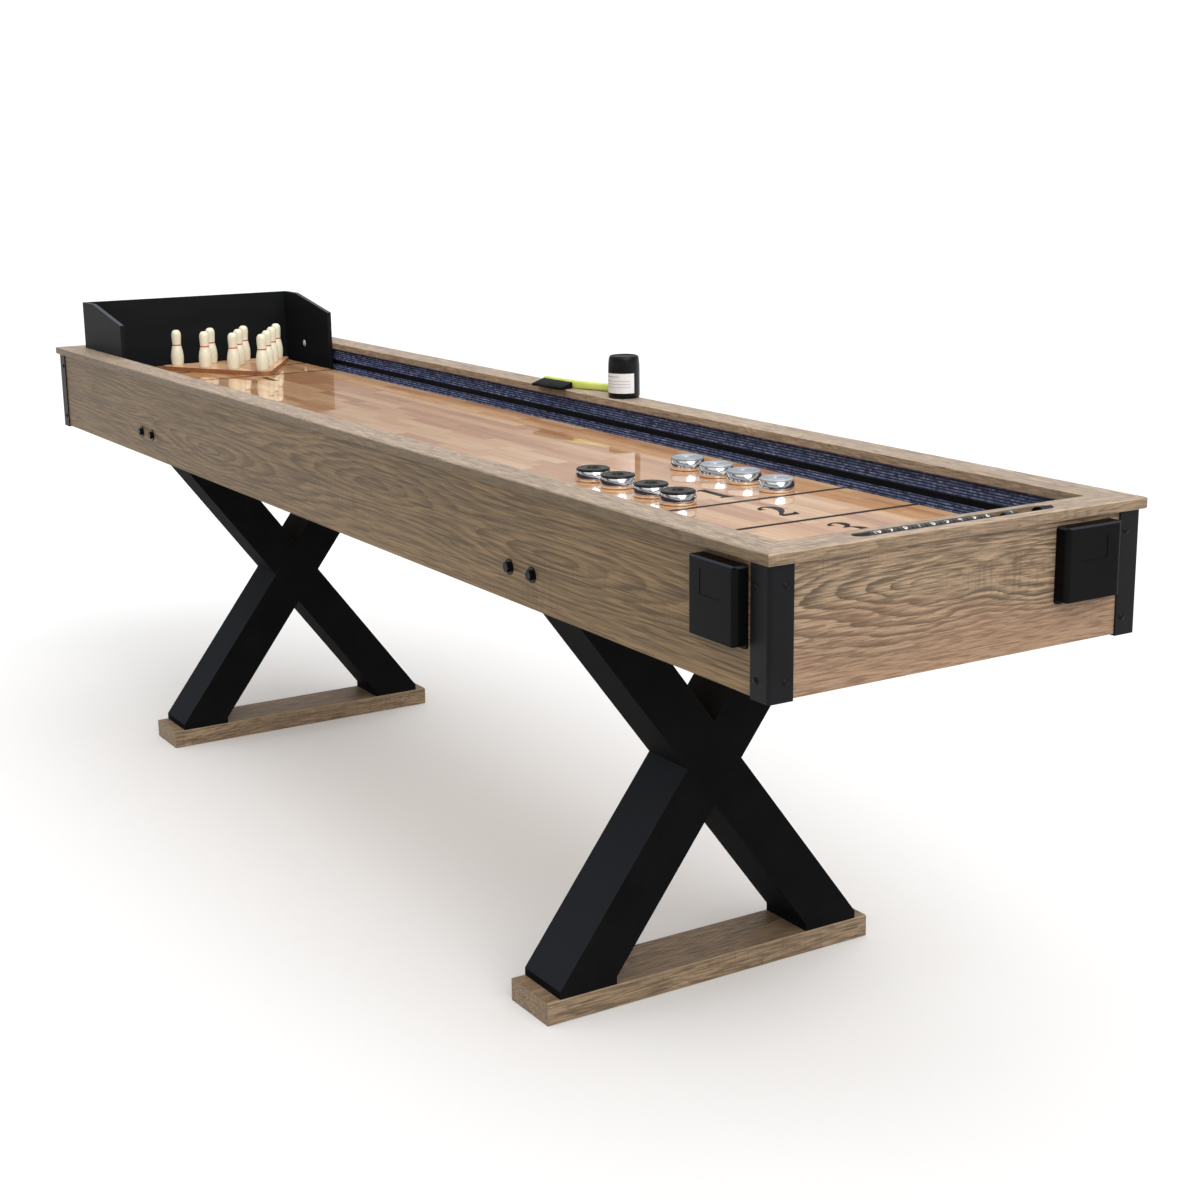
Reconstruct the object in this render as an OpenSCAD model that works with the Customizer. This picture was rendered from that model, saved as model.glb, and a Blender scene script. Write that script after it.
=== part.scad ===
// Shuffleboard table with pin bowling set.
// Units are millimetres. X runs along the table with the scorer at the +X end,
// Y runs across it and Z is up. The origin is on the floor at the middle of the table.

/* [Table] */
// length over the top rails
table_l = 2743; // [2600:1:2900]
// width over the top rails
table_w = 608; // [596:1:640]
// height of the rail tops above the floor
table_h = 800; // [790:1:830]

/* [Rails and cabinet] */
// width of each top rail
rail_w = 54; // [52:1:58]
// thickness of each top rail
rail_t = 15; // [14:0.5:18]
// how far the rails stand out past the aprons
rail_overhang = 8; // [6:0.5:12]
// thickness of the apron boards
apron_t = 18; // [16:0.5:20]
// height of the apron boards
apron_h = 163; // [155:1:163]
// thickness of the gutter carpet
carpet_t = 3; // [2:0.5:3]
// thickness of the cabinet floor panel
floor_t = 9; // [6:0.5:10]

/* [Playfield] */
// length of the playfield board
field_l = 2438.4; // [2300:1:2480]
// width of the playfield board
field_w = 368; // [340:1:380]
// thickness of the playfield board
field_t = 30; // [25:1:34]
// depth of the playing surface below the rail tops
field_drop = 44; // [40:1:50]

/* [Legs] */
// distance of each leg from the middle of the table
leg_x = 785; // [600:1:950]
// size of the crossed beams along the table
beam_depth = 104; // [90:1:104]
// width of the crossed beams, measured level
beam_w = 98; // [80:1:98]
// length of the foot boards across the table
foot_l = 594; // [580:1:640]
// height of the foot boards
foot_h = 35.5; // [30:0.5:40]

/* [Scorer] */
// diameter of a score bead
bead_d = 16; // [14:0.5:16.5]
// length of a score bead
bead_l = 21.6; // [20:0.1:21.6]
// diameter of the rod
rod_d = 4; // [3:0.5:4]

/* [Cup holders] */
// width of a cup holder
cup_w = 96; // [86:1:98]
// height of a cup holder
cup_h = 97; // [80:1:97]
// depth of a closed cup holder
cup_t = 21; // [20.5:0.5:30]

/* [Backstop] */
// height of the backstop above the rail tops
backstop_rise = 103; // [80:1:140]
// length of the backstop's side panels
backstop_l = 259; // [220:1:280]

/* [Game pieces] */
// diameter of a puck
puck_d = 54; // [50:0.5:58]
// height of a puck with its cap
puck_h = 20; // [18:0.5:24]
// height of a bowling pin
pin_h = 80; // [70:1:90]
// distance between neighbouring pins
pin_pitch = 80; // [60:1:80]
// thickness of the pin board
pin_board_t = 10; // [8:0.5:14]
// how far the pin set stands off the middle line
pin_set_y = 18; // [-20:1:20]
// diameter of the wax can
can_d = 57; // [50:1:60]
// height of the wax can
can_h = 76; // [60:1:90]

/* [Hidden] */
$fn = 64;

half_l = table_l / 2;
half_w = table_w / 2;
rail_z = table_h - rail_t;
rail_in_x = half_l - rail_w;
rail_in_y = half_w - rail_w;
rail_edge = 1.5;

apron_x = half_l - rail_overhang;
apron_y = half_w - rail_overhang;
apron_z = rail_z - apron_h;
inner_x = apron_x - apron_t;
inner_y = apron_y - apron_t;

wall_x = rail_in_x + 10;
wall_y = rail_in_y + 10;
liner_x = wall_x + carpet_t;
liner_y = wall_y + carpet_t;

field_z = table_h - field_drop;
groove = 6;
// play between two pieces that touch in the same node
fit_gap = 0.05;
floor_z = field_z - field_t - 30.5;
floor_top = floor_z + floor_t;
gutter_z = floor_top + carpet_t;
carpet_lap = 14;
cradle_x = [-1050, -525, 0, 525, 1050];
band_z = field_z - 7;
band_h = 9.5;
band_t = 1.2;

bracket_arm = 36;
bracket_t = 2.5;
screw_inset = 25;
screw_z = [apron_z + 21.5, rail_z - 26.5];
screw_d = 4;
screw_head_d = 10;
screw_head_h = 2.6;

beam_run = 225.5;
beam_foot_z = foot_h + 12;
beam_top_z = floor_z - 49;
beam_mid_z = (beam_foot_z + beam_top_z) / 2;
foot_w = 108;
bolt_d = 8;
bolt_head = 13;
bolt_head_h = 5.5;
bolt_pitch = 63.5;
bolt_z = floor_z - 24.5;
bolt_reach = 46;
washer_d = 23;
washer_t = 1.6;

slot_x = [1333, 1356];
slot_y = 160;
rod_x = (slot_x[0] + slot_x[1]) / 2;
rod_z = table_h - 6.5;
bead_pitch = bead_l + 0.3;
bead_start = -125.9;
bead_gap_last = 18.3;
cap_left = [-slot_y - 1, -137];
cap_right = [138, slot_y + 1];

cup_z = rail_z - 7 - cup_h;
near_cup_x = 1275;
end_cup_y = 200;
cup_flange = 3;
cup_lip = 4;
cup_round = 7;
cup_boss = 7;
cup_axis = [6.5, 3.5];
hinge_r = 1.5;
hinge_bore_r = 1.58;
hinge_round = 3.2;

backstop_t = 9;
backstop_top = table_h + backstop_rise;
backstop_flat = 74;
backstop_front_drop = 34;
backstop_screw_x = -1200;
backstop_screw_z = table_h - 13;
backstop_screw_head_d = 16;

row_pitch = pin_pitch * sqrt(3) / 2;
back_row_x = -1122;
pin_board_r = 16;
pin_z = field_z + pin_board_t;

puck_cap_d = 51;
puck_cap_h = 4;
puck_black_x = [637, 707, 796, 865];
puck_silver_x = [637, 715, 786, 866];
puck_black_y = -84;
puck_silver_y = 88;

can_at = [153, 281];
brush_at = [-106, 263];
brush_turn = 4;
brush_bend = 15.5;

score_nodes = [for (n = [10:-1:1]) str("score_bead_", n)];
pin_nodes = [for (n = [1:10]) str("bowling_pin_", n)];
puck_nodes = [for (tone = ["black", "silver"], n = [1:4]) str(tone, "_puck_", n)];

oak = [0.55, 0.45, 0.36];
oak_pale = [0.68, 0.60, 0.52];
maple = [0.80, 0.60, 0.38];
black = [0.06, 0.06, 0.07];
navy = [0.13, 0.15, 0.25];
steel = [0.75, 0.76, 0.78];
ply = [0.72, 0.60, 0.42];
cream = [0.92, 0.90, 0.82];
lime = [0.75, 0.82, 0.25];

// a box between two opposite corners
module span(from, to) {
    translate(from) cube(to - from);
}

// a bar along X with its four long edges bevelled
module bevelled_bar(length, width, height, bevel) {
    w = width / 2;
    rotate([90, 0, 90])
        linear_extrude(length, center = true)
            polygon([[-w + bevel, 0], [w - bevel, 0], [w, bevel], [w, height - bevel],
                [w - bevel, height], [-w + bevel, height], [-w, height - bevel], [-w, bevel]]);
}

module at_legs() {
    for (side = [-1, 1])
        translate([side * leg_x, 0, 0]) children();
}

// ---- cabinet ----

// panel with the outline of the cabinet floor, used for the board and its grooves
module floor_sheet() {
    span([-inner_x - groove, -inner_y - groove, floor_z],
        [inner_x + groove, inner_y + groove, floor_top]);
}

module bracket_bores(d) {
    reach = bracket_t + 14;
    for (sx = [-1, 1], sy = [-1, 1], z = screw_z) {
        translate([sx * (apron_x + bracket_t - screw_inset), sy * (apron_y + bracket_t), z])
            rotate([sy * 90, 0, 0])
                cylinder(d = d, h = reach);
        translate([sx * (apron_x + bracket_t), sy * (apron_y + bracket_t - screw_inset), z])
            rotate([0, -sx * 90, 0])
                cylinder(d = d, h = reach);
    }
}

module bolt_bores(d, from, reach) {
    at_legs()
        for (side = [-1, 1], dx = [-bolt_pitch / 2, bolt_pitch / 2])
            translate([dx, side * from, bolt_z])
                rotate([side * 90, 0, 0])
                    cylinder(d = d, h = reach);
}

// the screws of one cup holder, on a wall at x = 0
module at_cup_screws() {
    for (z = [22, cup_h - 22])
        translate([cup_boss, 0, z])
            rotate([0, 90, 0]) children();
}

module cup_screw_bores() {
    reach = cup_boss + 12;
    at_cup_screws() translate([0, 0, -reach]) cylinder(d = screw_d, h = reach + 1);
}

module long_apron() {
    difference() {
        span([-apron_x, -apron_y, apron_z], [apron_x, -inner_y, rail_z]);
        floor_sheet();
        bracket_bores(screw_d);
        bolt_bores(bolt_d + 0.5, apron_y + 1, apron_t + 2);
        children();
    }
}

module end_apron() {
    difference() {
        span([inner_x, -inner_y, apron_z], [apron_x, inner_y, rail_z]);
        floor_sheet();
        bracket_bores(screw_d);
        children();
    }
}

module apron_near() {
    color(oak) long_apron() on_near_side() cup_screw_bores();
}

module apron_far() {
    color(oak) rotate([0, 0, 180]) long_apron();
}

module apron_scorer_end() {
    color(oak) end_apron() on_scorer_end() cup_screw_bores();
}

module apron_pin_end() {
    color(oak) rotate([0, 0, 180]) end_apron();
}

// rail along X on the -Y side, mitred at both ends
module long_rail() {
    intersection() {
        translate([0, -half_w + rail_w / 2, rail_z])
            bevelled_bar(table_l, rail_w, rail_t, rail_edge);
        translate([0, 0, rail_z])
            linear_extrude(rail_t)
                polygon([[-half_l, -half_w], [half_l, -half_w],
                    [half_l - rail_w, -half_w + rail_w], [-half_l + rail_w, -half_w + rail_w]]);
    }
}

// rail along Y at the +X end, mitred at both ends
module end_rail() {
    intersection() {
        translate([half_l - rail_w / 2, 0, rail_z])
            rotate([0, 0, 90])
                bevelled_bar(table_w, rail_w, rail_t, rail_edge);
        translate([0, 0, rail_z])
            linear_extrude(rail_t)
                polygon([[half_l, -half_w], [half_l, half_w],
                    [half_l - rail_w, half_w - rail_w], [half_l - rail_w, -half_w + rail_w]]);
    }
}

module backstop_bores(d, from, reach) {
    for (side = [-1, 1])
        translate([backstop_screw_x, side * from, backstop_screw_z])
            rotate([-side * 90, 0, 0])
                cylinder(d = d, h = reach);
}

module rail_near() {
    color(oak_pale) difference() {
        long_rail();
        backstop_bores(screw_d, rail_in_y - 1, 16);
    }
}

module rail_far() {
    color(oak_pale) difference() {
        rotate([0, 0, 180]) long_rail();
        backstop_bores(screw_d, rail_in_y - 1, 16);
    }
}

// outline of the scorer's slot from above, with round ends and made smaller by the play
module slot_outline(play) {
    r = (slot_x[1] - slot_x[0]) / 2;
    translate([rod_x - r + play, -slot_y + r]) square([2 * (r - play), 2 * (slot_y - r)]);
    for (side = [-1, 1])
        translate([rod_x, side * (slot_y - r)]) circle(r - play);
}

module rail_scorer_end() {
    color(oak_pale) difference() {
        end_rail();
        translate([0, 0, rail_z - 1]) linear_extrude(rail_t + 2) slot_outline(0);
    }
}

module rail_pin_end() {
    color(oak_pale) rotate([0, 0, 180]) end_rail();
}

module liner_boards() {
    color(ply) difference() {
        span([-inner_x, -inner_y, floor_top], [inner_x, inner_y, rail_z]);
        span([-liner_x, -liner_y, floor_top - 1], [liner_x, liner_y, rail_z + 1]);
    }
}

module corner_bracket() {
    x = apron_x + bracket_t;
    y = -apron_y - bracket_t;
    r = 5;
    difference() {
        translate([x - bracket_arm, y, apron_z - bracket_t])
            linear_extrude(rail_z - apron_z + bracket_t)
                union() {
                    square([bracket_arm - r, bracket_arm]);
                    translate([0, r]) square([bracket_arm, bracket_arm - r]);
                    translate([bracket_arm - r, r]) circle(r);
                }
        span([x - bracket_arm - 1, y + bracket_t, apron_z],
            [x - bracket_t, y + bracket_arm + 1, rail_z + 1]);
        span([x - bracket_arm - 1, y + bracket_t + apron_t, apron_z - bracket_t - 1],
            [x - bracket_t - apron_t, y + bracket_arm + 1, rail_z + 1]);
    }
}

module corner_brackets() {
    color(black) difference() {
        for (sx = [0, 1], sy = [0, 1])
            mirror([sx, 0, 0]) mirror([0, sy, 0]) corner_bracket();
        bracket_bores(screw_d);
    }
}

// dome-headed screw along +Z with the underside of its head at the origin
module dome_screw(reach, head_d = screw_head_d) {
    dome_r = (pow(head_d / 2, 2) + pow(screw_head_h, 2)) / (2 * screw_head_h);
    translate([0, 0, -reach]) cylinder(d = screw_d, h = reach);
    rotate_extrude()
        intersection() {
            translate([0, screw_head_h - dome_r]) circle(dome_r);
            square([head_d / 2, screw_head_h]);
        }
}

module cabinet_screws() {
    reach = bracket_t + 14;
    color(black) for (sx = [-1, 1], sy = [-1, 1], z = screw_z) {
        translate([sx * (apron_x + bracket_t - screw_inset), sy * (apron_y + bracket_t), z])
            rotate([-sy * 90, 0, 0]) dome_screw(reach);
        translate([sx * (apron_x + bracket_t), sy * (apron_y + bracket_t - screw_inset), z])
            rotate([0, sx * 90, 0]) dome_screw(reach);
    }
    color(steel) for (side = [-1, 1])
        translate([backstop_screw_x, side * (rail_in_y - backstop_t), backstop_screw_z])
            rotate([side * 90, 0, 0]) dome_screw(backstop_t + 14, backstop_screw_head_d);
    color(steel) on_near_side() at_cup_screws() dome_screw(cup_boss + 12);
    color(steel) on_scorer_end() at_cup_screws() dome_screw(cup_boss + 12);
}

module cabinet_floor() {
    color(ply) floor_sheet();
}

// ---- playfield and gutter ----

module playfield_cradles() {
    color(ply) for (x = cradle_x)
        translate([x, 0, floor_top])
            rotate([0, 0, 90])
                bevelled_bar(field_w - 2 * carpet_lap - 12, 60, field_z - field_t - floor_top, 2);
}

module playfield() {
    color(maple) intersection() {
        translate([0, 0, field_z - field_t])
            bevelled_bar(field_l, field_w, field_t, 1.2);
        translate([0, 0, field_z - field_t])
            rotate([0, 0, 90]) bevelled_bar(field_w, field_l, field_t, 1.2);
    }
}

module gutter_carpet() {
    lap_x = field_l / 2 - carpet_lap;
    lap_y = field_w / 2 - carpet_lap;
    color(navy) difference() {
        span([-liner_x, -liner_y, floor_top], [liner_x, liner_y, rail_z]);
        span([-wall_x, -wall_y, gutter_z], [wall_x, wall_y, rail_z + 1]);
        span([-lap_x, -lap_y, floor_top - 1], [lap_x, lap_y, rail_z]);
    }
}

module gutter_band() {
    color(black) difference() {
        span([-wall_x, -wall_y, band_z], [wall_x, wall_y, band_z + band_h]);
        span([-wall_x + band_t, -wall_y + band_t, band_z - 1],
            [wall_x - band_t, wall_y - band_t, band_z + band_h + 1]);
    }
}

// ---- legs ----

// one beam of a crossed pair, notched over half its depth where the pair crosses
module leg_beam(side) {
    w = beam_w / 2;
    difference() {
        rotate([90, 0, 90])
            linear_extrude(beam_depth, center = true)
                polygon([[-side * (beam_run + w), foot_h], [-side * (beam_run - w), foot_h],
                    [-side * (beam_run - w), beam_foot_z], [side * (beam_run + w), beam_top_z],
                    [side * (beam_run - w), beam_top_z], [-side * (beam_run + w), beam_foot_z]]);
        translate([side * beam_depth / 4, 0, 0])
            rotate([90, 0, 90])
                linear_extrude(beam_depth / 2, center = true)
                    polygon([[side * (beam_run - w), beam_foot_z], [side * (beam_run + w), beam_foot_z],
                        [-side * (beam_run - w), beam_top_z], [-side * (beam_run + w), beam_top_z]]);
    }
}

module leg_beams_a() {
    color(black) at_legs() leg_beam(1);
}

module leg_beams_b() {
    color(black) at_legs() leg_beam(-1);
}

module leg_top_blocks() {
    color(black) difference() {
        at_legs()
            span([-beam_depth / 2, -inner_y, beam_top_z], [beam_depth / 2, inner_y, floor_z]);
        bolt_bores(bolt_d, apron_y, bolt_reach);
    }
}

module leg_foot_boards() {
    color(oak) at_legs()
        rotate([0, 0, 90]) bevelled_bar(foot_l, foot_w, foot_h, 1.5);
}

module leg_bolts() {
    color(black) at_legs()
        for (side = [-1, 1], dx = [-bolt_pitch / 2, bolt_pitch / 2])
            translate([dx, side * apron_y, bolt_z])
                rotate([-side * 90, 0, 0]) {
                    translate([0, 0, -bolt_reach]) cylinder(d = bolt_d, h = bolt_reach + washer_t + 1);
                    translate([0, 0, washer_t + fit_gap])
                        cylinder(d = bolt_head / cos(30), h = bolt_head_h, $fn = 6);
                    difference() {
                        cylinder(d = washer_d, h = washer_t);
                        translate([0, 0, -1]) cylinder(d = bolt_d + 0.6, h = washer_t + 2);
                    }
                }
}

// ---- scorer ----

// rod along the slot, with each of its ends held in a cap
module rod_round() {
    translate([rod_x, 0, rod_z])
        rotate([90, 0, 0]) cylinder(d = rod_d, h = 2 * slot_y - 12, center = true);
}

module score_rod() {
    color(steel) rod_round();
}

// round-topped block that fills one end of the slot and holds the rod
module end_cap(from, to) {
    r = (slot_x[1] - slot_x[0]) / 2;
    dome_r = 1.3 * r;
    top = rail_t + 1.2;
    intersection() {
        translate([rod_x, to, rail_z])
            rotate([90, 0, 0])
                linear_extrude(to - from)
                    intersection() {
                        translate([-r - 1, 0]) square([2 * r + 2, top]);
                        translate([0, top - dome_r]) circle(dome_r);
                    }
        translate([0, 0, rail_z]) linear_extrude(rail_t + 2) slot_outline(0.2);
    }
}

module score_end_caps() {
    color(black) difference() {
        union() {
            end_cap(cap_left[0], cap_left[1]);
            end_cap(cap_right[0], cap_right[1]);
        }
        rod_round();
    }
}

// middle of a bead along the slot: bead 10 is first and bead 1 stands apart
function bead_y(n) = bead_start + (10 - n) * bead_pitch + (n == 1 ? bead_gap_last : 0);

module score_bead(n) {
    r = bead_d / 2;
    round = 2;
    color(black) translate([rod_x, bead_y(n), rod_z])
        rotate([90, 0, 0])
            rotate_extrude()
                difference() {
                    union() {
                        translate([0, -bead_l / 2]) square([r - round, bead_l]);
                        translate([0, -bead_l / 2 + round]) square([r, bead_l - 2 * round]);
                        for (side = [-1, 1])
                            translate([r - round, side * (bead_l / 2 - round)]) circle(round);
                    }
                    translate([-r, -bead_l]) square([r + rod_d / 2 + 0.3, 2 * bead_l]);
                }
}

// ---- cup holders ----
// A cup holder is drawn on a wall at x = 0 with x out of the wall, y along it and z up.

// outline of the closed holder, seen from the front
module cup_front(w, h, r) {
    translate([-w / 2 + r, 0]) square([w - 2 * r, h]);
    translate([-w / 2, r]) square([w, h - 2 * r]);
    for (sx = [-1, 1], y = [r, h - r])
        translate([sx * (w / 2 - r), y]) circle(r);
}

module along_y(w) {
    rotate([90, 0, 0]) linear_extrude(w, center = true) children();
}

module along_x(from, to) {
    translate([from, 0, 0]) rotate([90, 0, 90]) linear_extrude(to - from) children();
}

module cup_base() {
    w = cup_w / 2 - 3.5;
    lug_w = 8;
    color(black) difference() {
        union() {
            along_x(0, cup_flange)
                translate([0, -cup_lip]) cup_front(cup_w, cup_h + cup_lip, 4);
            along_x(cup_flange - 0.5, cup_boss)
                translate([0, 10]) cup_front(2 * w, cup_h - 20, 4);
            for (side = [-1, 1])
                translate([0, side * (w - lug_w / 2), 0]) {
                    along_y(lug_w) {
                        translate(cup_axis) circle(2.8);
                        translate([cup_flange - 0.5, cup_axis[1] - 2.8]) square([4, 5.6]);
                    }
                }
            translate([cup_axis[0], 0, cup_axis[1]])
                rotate([90, 0, 0]) cylinder(r = hinge_r, h = cup_w - 0.6, center = true);
        }
        translate([cup_axis[0] - 4, -w + lug_w, -1]) cube([12, 2 * (w - lug_w), 9]);
        cup_screw_bores();
    }
}

// side view of the tray: square at the foot, rounded along the top edge
module tray_profile() {
    nose = 3.5;
    translate(cup_axis) circle(hinge_round);
    translate([cup_flange + 0.3, cup_axis[1]])
        square([cup_t - cup_flange - 0.3 - nose, cup_h - cup_axis[1]]);
    translate([cup_axis[0], 0.3]) square([cup_t - cup_axis[0], cup_h - nose - 0.3]);
    translate([cup_t - nose, cup_h - nose]) circle(nose);
}

module cup_tray() {
    wall = 3;
    seat_z = cup_h / 2 - 2;
    panel_w = 44;
    color(black) difference() {
        intersection() {
            along_y(cup_w) tray_profile();
            along_x(0, cup_t + 1) cup_front(cup_w, cup_h, 4);
            linear_extrude(cup_h) {
                translate([0, -cup_w / 2]) square([cup_t - cup_round, cup_w]);
                translate([0, -cup_w / 2 + cup_round]) square([cup_t, cup_w - 2 * cup_round]);
                for (side = [-1, 1])
                    translate([cup_t - cup_round, side * (cup_w / 2 - cup_round)]) circle(cup_round);
            }
        }
        along_y(cup_w - 2 * wall)
            translate([0, 3.4]) square([cup_t - wall, cup_h - wall - 3.4]);
        along_y(cup_w - 2 * wall) square([cup_axis[0] + 3.6, 8]);
        translate([cup_axis[0], 0, cup_axis[1]])
            rotate([90, 0, 0]) cylinder(r = hinge_bore_r, h = cup_w + 2, center = true);
        translate([cup_t - 0.6, -panel_w / 2, cup_h - 45]) cube([2, panel_w, 31]);
    }
    color(black) translate([cup_t - wall - 1.5, 0, seat_z])
        rotate([0, 90, 0])
            difference() {
                cylinder(d = 74, h = 2);
                translate([0, 0, -1]) cylinder(d = 70, h = 2.5);
            }
}

module on_near_side() {
    translate([near_cup_x, -apron_y, cup_z]) rotate([0, 0, -90]) children();
}

module on_scorer_end() {
    translate([apron_x, end_cup_y, cup_z]) children();
}

module near_cup_base() {
    on_near_side() cup_base();
}

module near_cup_tray() {
    on_near_side() cup_tray();
}

module end_cup_base() {
    on_scorer_end() cup_base();
}

module end_cup_tray() {
    on_scorer_end() cup_tray();
}

// ---- backstop and pins ----

module backstop_back() {
    color(black)
        span([-rail_in_x, -rail_in_y + backstop_t, gutter_z],
            [-rail_in_x + backstop_t, rail_in_y - backstop_t, backstop_top]);
}

module backstop_sides() {
    front = -rail_in_x + backstop_l;
    color(black) difference() {
        for (side = [-1, 1])
            translate([0, side * (rail_in_y - backstop_t / 2), 0])
                along_y(backstop_t)
                    polygon([[-rail_in_x, gutter_z], [front, gutter_z],
                        [front, backstop_top - backstop_front_drop],
                        [-rail_in_x + backstop_flat, backstop_top], [-rail_in_x, backstop_top]]);
        backstop_bores(screw_d, rail_in_y - backstop_t - 1, backstop_t + 2);
    }
}

// place of a pin on the board: pin 1 is at the point, pins 7 to 10 are the back row
function pin_row(n) = n == 1 ? 0 : n <= 3 ? 1 : n <= 6 ? 2 : 3;
function pin_in_row(n) = n - 1 - pin_row(n) * (pin_row(n) + 1) / 2;
function pin_place(n) = [back_row_x + (3 - pin_row(n)) * row_pitch,
    pin_set_y + (pin_in_row(n) - pin_row(n) / 2) * pin_pitch];

// triangle with round corners: the straight sides join three corner circles
module round_triangle(corners, r) {
    sides = [for (i = [0:2]) corners[(i + 1) % 3] - corners[i]];
    outward = [for (s = sides) [s[1], -s[0]] / norm(s) * r];
    polygon([for (i = [0:2]) each [corners[i] + outward[i], corners[(i + 1) % 3] + outward[i]]]);
    for (c = corners) translate(c) circle(r);
}

module pin_board() {
    back = back_row_x - 8;
    half = 1.5 * pin_pitch + 14;
    color(maple) difference() {
        translate([0, pin_set_y, field_z])
            linear_extrude(pin_board_t)
                round_triangle([[back, -half], [back + 3 * row_pitch + 18, 0], [back, half]],
                    pin_board_r);
        for (n = [1:10])
            translate([pin_place(n)[0] + 8, pin_place(n)[1] - 17, pin_z - 5])
                cylinder(d = 5, h = 6);
    }
}

// half outline of a pin, with heights and radii as shares of its height
function pin_radius(t) = pin_h * (
    0.166 + 0.019 * sin(180 * min(1, t / 0.55))
    - 0.052 * pow(sin(90 * max(0, min(1, (t - 0.22) / 0.36))), 2)
    + 0.020 * pow(sin(90 * max(0, min(1, (t - 0.58) / 0.26))), 2));

module pin_half() {
    steps = 22;
    head_t = 0.86;
    head_r = pin_radius(head_t);
    polygon(concat([[0, 0], [pin_radius(0) - 1, 0]],
        [for (i = [0:steps]) let (t = 0.012 + (head_t - 0.012) * i / steps) [pin_radius(t), t * pin_h]],
        [for (a = [10:10:90]) [head_r * cos(a), pin_h * (head_t + (1 - head_t) * sin(a))]]));
}

module bowling_pin(n) {
    color(cream) translate([pin_place(n)[0], pin_place(n)[1], pin_z])
        rotate_extrude($fn = 48) pin_half();
}

// ---- loose pieces ----

// chrome weight and the moulded cap that is pressed into its top
module puck(tone, n) {
    r = puck_d / 2;
    cap_r = puck_cap_d / 2;
    body_h = puck_h - puck_cap_h;
    x = tone == "black" ? puck_black_x[n - 1] : puck_silver_x[n - 1];
    y = tone == "black" ? puck_black_y : puck_silver_y;
    translate([x, y, field_z]) {
        color(steel) rotate_extrude()
            polygon([[0, 0], [r - 3, 0], [r - 1, 1], [r, 4], [r, body_h - 3],
                [r - 1, body_h - 1], [r - 3, body_h], [0, body_h]]);
        color(tone == "black" ? black : steel) translate([0, 0, body_h + fit_gap])
            rotate_extrude()
                polygon([[0, 0], [cap_r, 0], [cap_r, puck_cap_h - 1.5], [cap_r - 1.5, puck_cap_h],
                    [10.5, puck_cap_h], [9, puck_cap_h - 1.5], [0, puck_cap_h - 1.5]]);
    }
}

module wax_can() {
    r = can_d / 2;
    color(black) translate([can_at[0], can_at[1], table_h])
        rotate_extrude()
            polygon(concat([[0, 0], [r - 2.5, 0], [r, 3], [r, can_h - 11]],
                [for (a = [15:15:90]) [r - 5 + 5 * cos(a), can_h - 11 + 8 * sin(a)]],
                [[r - 5.5, can_h - 3], [r - 6, can_h], [0, can_h]]));
}

// brush on its side: the handle is bent away from the head, the bristles point to the gutter
module brush() {
    head_l = 96;
    head_w = 9;
    thick = 15;
    grip_l = 105;
    grip_w = 12;
    bristle_l = 36;
    bristle_lean = 13;
    color(lime) translate([brush_at[0], brush_at[1], table_h]) rotate([0, 0, brush_turn]) {
        linear_extrude(thick) {
            translate([-3, 0]) square([head_l + 6, head_w]);
            translate([head_l, grip_w / 2 - 1.5]) rotate(brush_bend) {
                translate([0, -grip_w / 2]) square([grip_l - grip_w / 2, grip_w]);
                translate([grip_l - grip_w / 2, 0]) circle(grip_w / 2);
            }
        }
        intersection() {
            translate([-1, 0, 0]) along_x(0, head_l + bristle_lean + 2)
                polygon([[0.5, 0.3], [0.5, 11.4], [-bristle_l, 4.5], [-bristle_l, 0.3]]);
            linear_extrude(thick)
                polygon([[0, 1], [head_l, 1], [head_l + bristle_lean, -bristle_l - 1],
                    [bristle_lean, -bristle_l - 1]]);
        }
    }
}

apron_near();
apron_far();
apron_scorer_end();
apron_pin_end();
rail_near();
rail_far();
rail_scorer_end();
rail_pin_end();
liner_boards();
corner_brackets();
cabinet_screws();
cabinet_floor();
playfield_cradles();
playfield();
gutter_carpet();
gutter_band();
leg_beams_a();
leg_beams_b();
leg_top_blocks();
leg_foot_boards();
leg_bolts();
score_rod();
score_end_caps();
for (n = [1:10]) score_bead(n);
near_cup_base();
near_cup_tray();
end_cup_base();
end_cup_tray();
backstop_back();
backstop_sides();
pin_board();
for (n = [1:10]) bowling_pin(n);
for (n = [1:4]) puck("black", n);
for (n = [1:4]) puck("silver", n);
wax_can();
brush();
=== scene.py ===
import bpy
import math
import random
from mathutils import Matrix, Vector


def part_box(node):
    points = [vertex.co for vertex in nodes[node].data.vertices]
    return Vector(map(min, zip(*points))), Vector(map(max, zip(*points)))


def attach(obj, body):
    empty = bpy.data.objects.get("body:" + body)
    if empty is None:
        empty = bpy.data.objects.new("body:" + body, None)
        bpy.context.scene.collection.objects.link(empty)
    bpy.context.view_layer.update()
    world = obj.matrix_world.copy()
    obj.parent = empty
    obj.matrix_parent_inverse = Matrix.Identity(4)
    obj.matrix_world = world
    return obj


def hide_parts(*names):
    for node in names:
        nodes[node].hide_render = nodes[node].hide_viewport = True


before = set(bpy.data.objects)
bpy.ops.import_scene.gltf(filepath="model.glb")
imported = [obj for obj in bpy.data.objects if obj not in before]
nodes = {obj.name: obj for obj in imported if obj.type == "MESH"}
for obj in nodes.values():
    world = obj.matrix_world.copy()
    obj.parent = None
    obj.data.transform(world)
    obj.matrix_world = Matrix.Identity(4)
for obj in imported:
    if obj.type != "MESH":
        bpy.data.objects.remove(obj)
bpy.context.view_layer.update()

MM = 0.001

# ---- places read from the frame ----

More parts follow.
